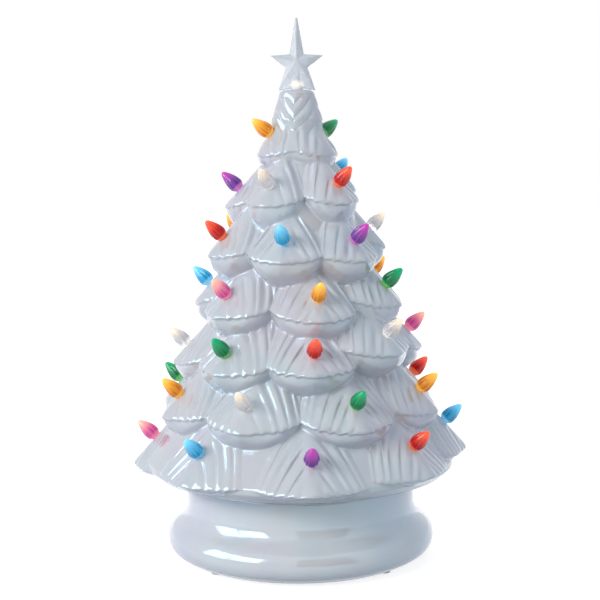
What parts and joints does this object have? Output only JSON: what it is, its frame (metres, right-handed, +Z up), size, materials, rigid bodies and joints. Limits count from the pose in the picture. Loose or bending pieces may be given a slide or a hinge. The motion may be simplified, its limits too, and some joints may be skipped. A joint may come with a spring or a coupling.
{
  "type": "lit ceramic christmas tree",
  "caption": "Pearl-white glazed ceramic Christmas tree with tiers of ridged boughs, lit coloured push-in bulbs and a clear star, on a round base that holds the battery light.",
  "frame": {"origin": "on the axis of the tree, on the plane that the feet stand on", "axes": "+Z up through the star, -Y towards the viewer of the picture, +X to that viewer's right"},
  "size_m": [0.227, 0.2264, 0.356],
  "materials": {
    "glaze": "glossy pearl-white glaze",
    "clear_star": "clear, polished",
    "felt": "pressed felt",
    "post_plastic": "white, satin",
    "board": "green circuit board",
    "led_lens": "clear, lit warm white",
    "housing_plastic": "white, fine grain",
    "cell_jacket": "plain dark jacket",
    "spring_steel": "plated",
    "screw_steel": "zinc plated",
    "switch_plastic": "black, satin",
    "wire_jacket": "insulated wire",
    "red_lens": "translucent red, lit from behind",
    "green_lens": "translucent green, lit from behind",
    "blue_lens": "translucent blue, lit from behind",
    "amber_lens": "translucent amber, lit from behind",
    "purple_lens": "translucent purple, lit from behind",
    "pink_lens": "translucent pink, lit from behind",
    "clear_lens": "translucent clear, lit from behind"
  },
  "bodies": {
    "base": {"base": "glaze", "battery_cells": "cell_jacket", "battery_contacts": "spring_steel", "battery_housing": "housing_plastic", "feet": "felt", "housing_screws": "screw_steel", "led_board": "board", "leds": "led_lens", "light_post": "post_plastic", "switch_body": "switch_plastic", "wires": "wire_jacket"},
    "tree": {"tree_shell": "glaze", "amber_bulb_1": "amber_lens", "amber_bulb_2": "amber_lens", "amber_bulb_3": "amber_lens", "amber_bulb_4": "amber_lens", "amber_bulb_5": "amber_lens", "amber_bulb_6": "amber_lens", "amber_bulb_7": "amber_lens", "amber_bulb_8": "amber_lens", "amber_bulb_9": "amber_lens", "blue_bulb_1": "blue_lens", "blue_bulb_2": "blue_lens", "blue_bulb_3": "blue_lens", "blue_bulb_4": "blue_lens", "blue_bulb_5": "blue_lens", "blue_bulb_6": "blue_lens", "blue_bulb_7": "blue_lens", "clear_bulb_1": "clear_lens", "clear_bulb_2": "clear_lens", "clear_bulb_3": "clear_lens", "clear_bulb_4": "clear_lens", "clear_bulb_5": "clear_lens", "clear_bulb_6": "clear_lens", "green_bulb_1": "green_lens", "green_bulb_2": "green_lens", "green_bulb_3": "green_lens", "green_bulb_4": "green_lens", "green_bulb_5": "green_lens", "green_bulb_6": "green_lens", "green_bulb_7": "green_lens", "pink_bulb_1": "pink_lens", "pink_bulb_2": "pink_lens", "pink_bulb_3": "pink_lens", "pink_bulb_4": "pink_lens", "purple_bulb_1": "purple_lens", "purple_bulb_2": "purple_lens", "purple_bulb_3": "purple_lens", "purple_bulb_4": "purple_lens", "purple_bulb_5": "purple_lens", "red_bulb_1": "red_lens", "red_bulb_2": "red_lens", "red_bulb_3": "red_lens", "red_bulb_4": "red_lens", "red_bulb_5": "red_lens", "red_bulb_6": "red_lens"},
    "star": {"star": "clear_star"},
    "door": {"battery_door": "housing_plastic"},
    "switch": {"switch_knob": "switch_plastic"}
  },
  "joints": [
    {"name": "tree_lift", "type": "slide", "parent": "base", "child": "tree", "axis": [0, 0, 1], "range_m": [0, 0.1]},
    {"name": "star_lift", "type": "slide", "parent": "tree", "child": "star", "axis": [0, 0, 1], "range_m": [0, 0.02]},
    {"name": "door_swing", "type": "hinge", "parent": "base", "child": "door", "pos_m": [0.0263, 0, 0.0081], "axis": [0, -1, 0], "range_deg": [0, 95]},
    {"name": "switch_slide", "type": "slide", "parent": "base", "child": "switch", "axis": [-1, 0, 0], "range_m": [0, 0.004]}
  ]
}
